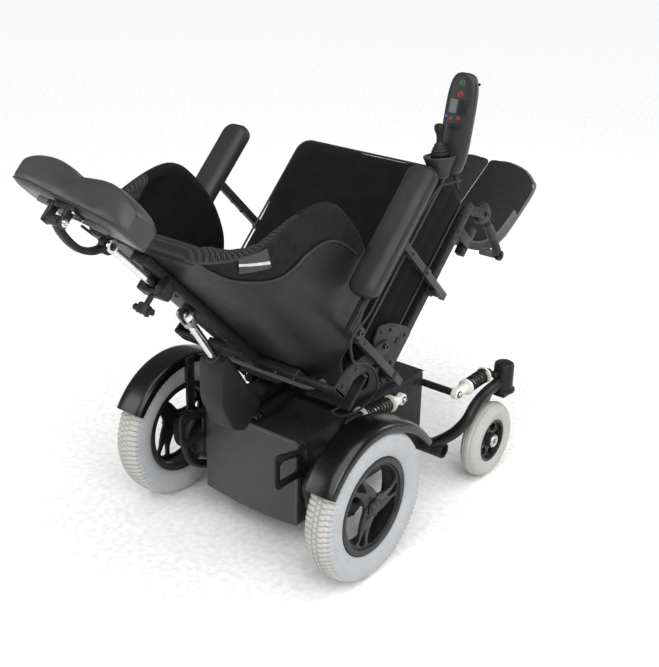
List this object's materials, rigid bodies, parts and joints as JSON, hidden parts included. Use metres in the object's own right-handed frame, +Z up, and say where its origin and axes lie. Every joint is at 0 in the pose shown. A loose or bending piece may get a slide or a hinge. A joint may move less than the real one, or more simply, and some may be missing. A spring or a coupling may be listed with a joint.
{
  "type": "power wheelchair",
  "caption": "Powered wheelchair with sprung rear drive wheels, front casters, tilting seat, reclining contoured back, flip-up arms and joystick.",
  "frame": {"origin": "middle of the bounding box, on the floor", "axes": "+Z up; the chair faces -Y; +X is the user's left"},
  "size_m": [0.6398, 1.486, 1.0564],
  "materials": {
    "black_frame": "satin black powder coat",
    "black_gloss": "gloss black",
    "black_plastic": "fine grained black",
    "charcoal_cover": "charcoal",
    "black_fabric": "woven black",
    "black_vinyl": "soft black upholstery",
    "arm_foam": "moulded foam skin",
    "drive_tread": "light grey non-marking",
    "caster_tread": "mid grey non-marking",
    "damper_white": "cream white",
    "steel": "bright",
    "spring_steel": "black coil",
    "cable_rubber": "matte",
    "key_green": "matte",
    "key_red": "matte"
  },
  "bodies": {
    "base": {"battery_box": "black_frame", "top_cover": "black_plastic", "rear_cover": "charcoal_cover", "battery_pack": "black_plastic", "tilt_bracket": "black_frame"},
    "drive_arm_left": {"drive_arm_left": "black_frame", "gear_motor_left": "black_plastic", "fender_left": "black_gloss"},
    "drive_wheel_left": {"drive_tyre_left": "drive_tread", "drive_rim_left": "black_plastic"},
    "rear_left_shock": {"rear_left_shock": "damper_white"},
    "rear_left_spring": {"rear_left_spring": "spring_steel"},
    "caster_arm_left": {"caster_arm_left": "black_frame"},
    "caster_fork_left": {"caster_fork_left": "black_frame"},
    "caster_wheel_left": {"caster_tyre_left": "caster_tread", "caster_rim_left": "black_plastic"},
    "front_left_shock": {"front_left_shock": "damper_white"},
    "front_left_spring": {"front_left_spring": "spring_steel"},
    "drive_arm_right": {"drive_arm_right": "black_frame", "gear_motor_right": "black_plastic", "fender_right": "black_gloss"},
    "drive_wheel_right": {"drive_tyre_right": "drive_tread", "drive_rim_right": "black_plastic"},
    "rear_right_shock": {"rear_right_shock": "damper_white"},
    "rear_right_spring": {"rear_right_spring": "spring_steel"},
    "caster_arm_right": {"caster_arm_right": "black_frame"},
    "caster_fork_right": {"caster_fork_right": "black_frame"},
    "caster_wheel_right": {"caster_tyre_right": "caster_tread", "caster_rim_right": "black_plastic"},
    "front_right_shock": {"front_right_shock": "damper_white"},
    "front_right_spring": {"front_right_spring": "spring_steel"},
    "seat": {"seat_frame": "black_frame", "seat_cushion": "black_fabric", "joystick_cable": "cable_rubber"},
    "tilt_actuator": {"tilt_actuator": "black_plastic"},
    "tilt_rod": {"tilt_rod": "steel"},
    "back": {"back_shell": "black_vinyl", "back_cushion": "black_fabric", "back_frame": "black_frame"},
    "recline_actuator": {"recline_actuator": "black_plastic"},
    "recline_rod": {"recline_rod": "steel"},
    "headrest_stem": {"headrest_stem": "steel"},
    "headrest_knob": {"headrest_knob": "black_plastic"},
    "headrest_arm": {"headrest_arm": "black_frame"},
    "headrest_pad": {"headrest_pad": "black_vinyl"},
    "armrest_left": {"armrest_left": "black_frame", "arm_pad_left": "arm_foam"},
    "armrest_right": {"armrest_right": "black_frame", "arm_pad_right": "arm_foam", "joystick_pod": "black_plastic"},
    "joystick_gimbal": {"joystick_gimbal": "black_plastic"},
    "joystick": {"joystick": "black_plastic"},
    "power_key": {"power_key": "key_green"},
    "horn_key": {"horn_key": "key_red"},
    "mode_key": {"mode_key": "key_red"},
    "profile_key": {"profile_key": "key_red"},
    "legrest_left": {"legrest_left": "black_frame"},
    "footplate_left": {"footplate_left": "black_frame"},
    "legrest_right": {"legrest_right": "black_frame"},
    "footplate_right": {"footplate_right": "black_frame"}
  },
  "joints": [
    {"name": "drive_arm_left_swing", "type": "hinge", "parent": "base", "child": "drive_arm_left", "pos_m": [0.146, -0.0678, 0.125], "axis": [1, 0, 0], "range_deg": [0, 3], "stiffness_Nm_per_rad": 1000, "springref_deg": -5.73},
    {"name": "drive_wheel_left_spin", "type": "hinge", "parent": "drive_arm_left", "child": "drive_wheel_left", "pos_m": [0.2826, 0.1822, 0.175], "axis": [1, 0, 0], "continuous": true},
    {"name": "caster_arm_left_swing", "type": "hinge", "parent": "base", "child": "caster_arm_left", "pos_m": [0.15, -0.2711, 0.078], "axis": [-1, 0, 0], "range_deg": [0, 3], "stiffness_Nm_per_rad": 1000, "springref_deg": -5.73},
    {"name": "caster_fork_left_swivel", "type": "hinge", "parent": "caster_arm_left", "child": "caster_fork_left", "pos_m": [0.264, -0.4278, 0.212], "axis": [0, 0, 1], "continuous": true},
    {"name": "caster_wheel_left_spin", "type": "hinge", "parent": "caster_fork_left", "child": "caster_wheel_left", "pos_m": [0.264, -0.3648, 0.098], "axis": [1, 0, 0], "continuous": true},
    {"name": "rear_left_shock_turn", "type": "hinge", "parent": "base", "child": "rear_left_shock", "pos_m": [0.16, -0.1238, 0.268], "axis": [-1, 0, 0], "range_deg": [-2.45, 0.01]},
    {"name": "rear_left_spring_turn", "type": "hinge", "parent": "drive_arm_left", "child": "rear_left_spring", "pos_m": [0.16, 0.0562, 0.289], "axis": [-1, 0, 0], "range_deg": [-0.01, 0.63]},
    {"name": "front_left_shock_turn", "type": "hinge", "parent": "base", "child": "front_left_shock", "pos_m": [0.236, -0.2488, 0.259], "axis": [-1, 0, 0], "range_deg": [-0.01, 2.79]},
    {"name": "front_left_spring_turn", "type": "hinge", "parent": "caster_arm_left", "child": "front_left_spring", "pos_m": [0.236, -0.3958, 0.263], "axis": [-1, 0, 0], "range_deg": [-0.291, 0.01]},
    {"name": "drive_arm_right_swing", "type": "hinge", "parent": "base", "child": "drive_arm_right", "pos_m": [-0.146, -0.0678, 0.125], "axis": [1, 0, 0], "range_deg": [0, 3], "stiffness_Nm_per_rad": 1000, "springref_deg": -5.73},
    {"name": "drive_wheel_right_spin", "type": "hinge", "parent": "drive_arm_right", "child": "drive_wheel_right", "pos_m": [-0.2826, 0.1822, 0.175], "axis": [1, 0, 0], "continuous": true},
    {"name": "caster_arm_right_swing", "type": "hinge", "parent": "base", "child": "caster_arm_right", "pos_m": [-0.15, -0.2711, 0.078], "axis": [-1, 0, 0], "range_deg": [0, 3], "stiffness_Nm_per_rad": 1000, "springref_deg": -5.73},
    {"name": "caster_fork_right_swivel", "type": "hinge", "parent": "caster_arm_right", "child": "caster_fork_right", "pos_m": [-0.264, -0.4278, 0.212], "axis": [0, 0, 1], "continuous": true},
    {"name": "caster_wheel_right_spin", "type": "hinge", "parent": "caster_fork_right", "child": "caster_wheel_right", "pos_m": [-0.264, -0.3648, 0.098], "axis": [1, 0, 0], "continuous": true},
    {"name": "rear_right_shock_turn", "type": "hinge", "parent": "base", "child": "rear_right_shock", "pos_m": [-0.16, -0.1238, 0.268], "axis": [-1, 0, 0], "range_deg": [-2.45, 0.01]},
    {"name": "rear_right_spring_turn", "type": "hinge", "parent": "drive_arm_right", "child": "rear_right_spring", "pos_m": [-0.16, 0.0562, 0.289], "axis": [-1, 0, 0], "range_deg": [-0.01, 0.63]},
    {"name": "front_right_shock_turn", "type": "hinge", "parent": "base", "child": "front_right_shock", "pos_m": [-0.236, -0.2488, 0.259], "axis": [-1, 0, 0], "range_deg": [-0.01, 2.79]},
    {"name": "front_right_spring_turn", "type": "hinge", "parent": "caster_arm_right", "child": "front_right_spring", "pos_m": [-0.236, -0.3958, 0.263], "axis": [-1, 0, 0], "range_deg": [-0.291, 0.01]},
    {"name": "seat_tilt", "type": "hinge", "parent": "base", "child": "seat", "pos_m": [0, -0.0178, 0.42], "axis": [1, 0, 0], "range_deg": [0, 45]},
    {"name": "tilt_actuator_turn", "type": "hinge", "parent": "base", "child": "tilt_actuator", "pos_m": [0, -0.2228, 0.312], "axis": [-1, 0, 0], "range_deg": [-0.1, 7.47]},
    {"name": "tilt_rod_slide", "type": "slide", "parent": "tilt_actuator", "child": "tilt_rod", "axis": [0, 0.7025, 0.7116], "range_m": [-0.04874, 0.0001]},
    {"name": "back_recline", "type": "hinge", "parent": "seat", "child": "back", "pos_m": [0, 0.05645, 0.48718], "axis": [-1, 0, 0], "range_deg": [0, 25]},
    {"name": "recline_actuator_turn", "type": "hinge", "parent": "seat", "child": "recline_actuator", "pos_m": [0, 0.22544, 0.31535], "axis": [-1, 0, 0], "range_deg": [-0.1, 26.09]},
    {"name": "recline_rod_slide", "type": "slide", "parent": "recline_actuator", "child": "recline_rod", "axis": [0, 0.5615, 0.8275], "range_m": [-0.10648, 0.0001]},
    {"name": "headrest_stem_slide", "type": "slide", "parent": "back", "child": "headrest_stem", "axis": [0, 0.7071, 0.7071], "range_m": [-0.045, 0.03]},
    {"name": "headrest_knob_turn", "type": "hinge", "parent": "back", "child": "headrest_knob", "pos_m": [0, 0.5196, 0.67456], "axis": [0, -0.7071, 0.7071], "range_deg": [0, 180]},
    {"name": "headrest_arm_turn", "type": "hinge", "parent": "headrest_stem", "child": "headrest_arm", "pos_m": [0, 0.61647, 0.80962], "axis": [1, 0, 0], "range_deg": [-20, 20]},
    {"name": "headrest_pad_turn", "type": "hinge", "parent": "headrest_arm", "child": "headrest_pad", "pos_m": [0, 0.7289, 0.88386], "axis": [1, 0, 0], "range_deg": [-20, 20]},
    {"name": "armrest_left_flip", "type": "hinge", "parent": "seat", "child": "armrest_left", "pos_m": [0.258, 0.19787, 0.57486], "axis": [-1, 0, 0], "range_deg": [0, 90]},
    {"name": "armrest_right_flip", "type": "hinge", "parent": "seat", "child": "armrest_right", "pos_m": [-0.258, 0.19787, 0.57486], "axis": [-1, 0, 0], "range_deg": [0, 90]},
    {"name": "joystick_gimbal_tilt", "type": "hinge", "parent": "armrest_right", "child": "joystick_gimbal", "pos_m": [-0.26936, -0.05729, 0.88798], "axis": [0.9928, 0, -0.1201], "range_deg": [-14, 14], "stiffness_Nm_per_rad": 0.3},
    {"name": "joystick_tilt", "type": "hinge", "parent": "joystick_gimbal", "child": "joystick", "pos_m": [-0.26936, -0.05729, 0.88798], "axis": [0, 1, 0.0002], "range_deg": [-14, 14], "stiffness_Nm_per_rad": 0.3},
    {"name": "power_key_press", "type": "slide", "parent": "armrest_right", "child": "power_key", "axis": [0, -0.9781, -0.2079], "range_m": [0, 0.0012], "stiffness_N_per_m": 800, "springref_m": -0.0005},
    {"name": "horn_key_press", "type": "slide", "parent": "armrest_right", "child": "horn_key", "axis": [0, -0.9781, -0.2079], "range_m": [0, 0.0012], "stiffness_N_per_m": 800, "springref_m": -0.0005},
    {"name": "mode_key_press", "type": "slide", "parent": "armrest_right", "child": "mode_key", "axis": [0, -0.9781, -0.2079], "range_m": [0, 0.0012], "stiffness_N_per_m": 800, "springref_m": -0.0005},
    {"name": "profile_key_press", "type": "slide", "parent": "armrest_right", "child": "profile_key", "axis": [0, -0.9781, -0.2079], "range_m": [0, 0.0012], "stiffness_N_per_m": 800, "springref_m": -0.0005},
    {"name": "legrest_left_raise", "type": "hinge", "parent": "seat", "child": "legrest_left", "pos_m": [0.195, -0.36994, 0.6788], "axis": [-1, 0, 0], "range_deg": [0, 60]},
    {"name": "footplate_left_fold", "type": "hinge", "parent": "legrest_left", "child": "footplate_left", "pos_m": [0.17, -0.50146, 0.53314], "axis": [-1, 0, 0], "range_deg": [0, 60]},
    {"name": "legrest_right_raise", "type": "hinge", "parent": "seat", "child": "legrest_right", "pos_m": [-0.195, -0.36994, 0.6788], "axis": [-1, 0, 0], "range_deg": [0, 60]},
    {"name": "footplate_right_fold", "type": "hinge", "parent": "legrest_right", "child": "footplate_right", "pos_m": [-0.17, -0.50146, 0.53314], "axis": [-1, 0, 0], "range_deg": [0, 60]}
  ],
  "couplings": [
    {"joint": "rear_left_shock_turn", "follows": "drive_arm_left_swing", "ratio": -0.79731},
    {"joint": "rear_left_spring_turn", "follows": "drive_arm_left_swing", "ratio": 0.20269},
    {"joint": "front_left_shock_turn", "follows": "caster_arm_left_swing", "ratio": 0.90832},
    {"joint": "front_left_spring_turn", "follows": "caster_arm_left_swing", "ratio": -0.09168},
    {"joint": "rear_right_shock_turn", "follows": "drive_arm_right_swing", "ratio": -0.79731},
    {"joint": "rear_right_spring_turn", "follows": "drive_arm_right_swing", "ratio": 0.20269},
    {"joint": "front_right_shock_turn", "follows": "caster_arm_right_swing", "ratio": 0.90832},
    {"joint": "front_right_spring_turn", "follows": "caster_arm_right_swing", "ratio": -0.09168},
    {"joint": "tilt_actuator_turn", "follows": "seat_tilt", "ratio": 0.16067},
    {"joint": "tilt_rod_slide", "follows": "seat_tilt", "m_per_rad": -0.06072},
    {"joint": "recline_actuator_turn", "follows": "back_recline", "ratio": 1.0192},
    {"joint": "recline_rod_slide", "follows": "back_recline", "m_per_rad": -0.23903}
  ]
}
